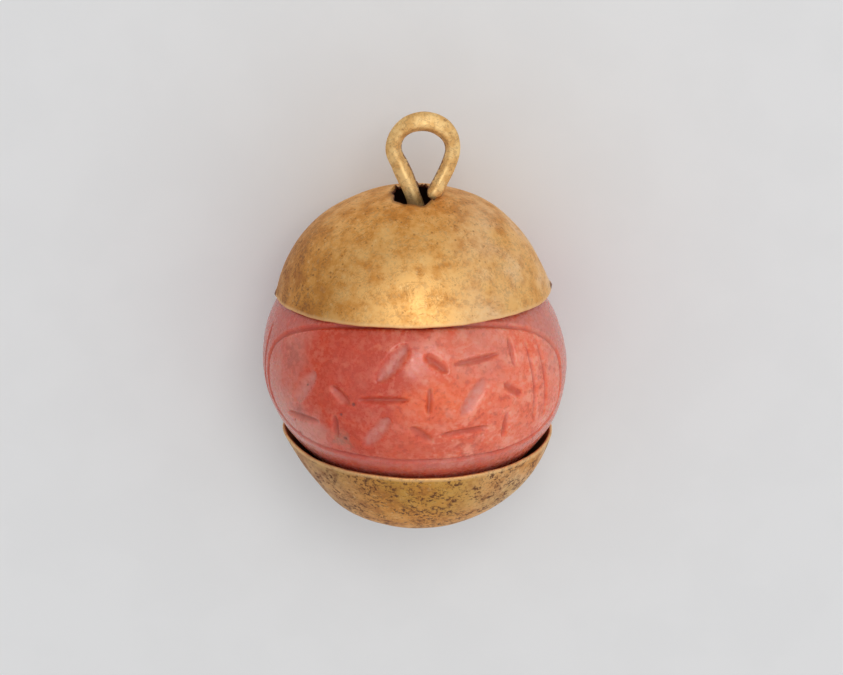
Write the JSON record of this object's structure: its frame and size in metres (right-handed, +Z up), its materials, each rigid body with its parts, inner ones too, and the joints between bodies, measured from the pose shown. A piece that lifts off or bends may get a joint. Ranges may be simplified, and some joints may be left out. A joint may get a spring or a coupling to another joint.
{
  "type": "inscribed bead pendant",
  "caption": "Engraved carnelian ball bead held between two bowl-shaped sheet gold caps on a gold wire that ends in a suspension loop.",
  "frame": {"origin": "middle of the small flat spot under the bead, on which the loose piece lies", "axes": "+Y along the bore towards the suspension loop, +Z up through the middle of the engraved panel, +X to the right seen from above with the loop at the top"},
  "size_m": [0.019, 0.0271, 0.0188],
  "materials": {
    "carnelian": "waxy, cloudy salmon-red carnelian, engraved, with small dark pits and worn edges",
    "sheet_gold": "gold sheet, aged and semi-matte, with brown specks and fine scratches",
    "wire_gold": "gold wire, hammered nearly square, polished on its edges and brown in its hollows"
  },
  "bodies": {
    "root": {"bead": "carnelian", "upper_cap": "sheet_gold", "lower_cap": "sheet_gold", "suspension_wire": "wire_gold"}
  },
  "joints": []
}
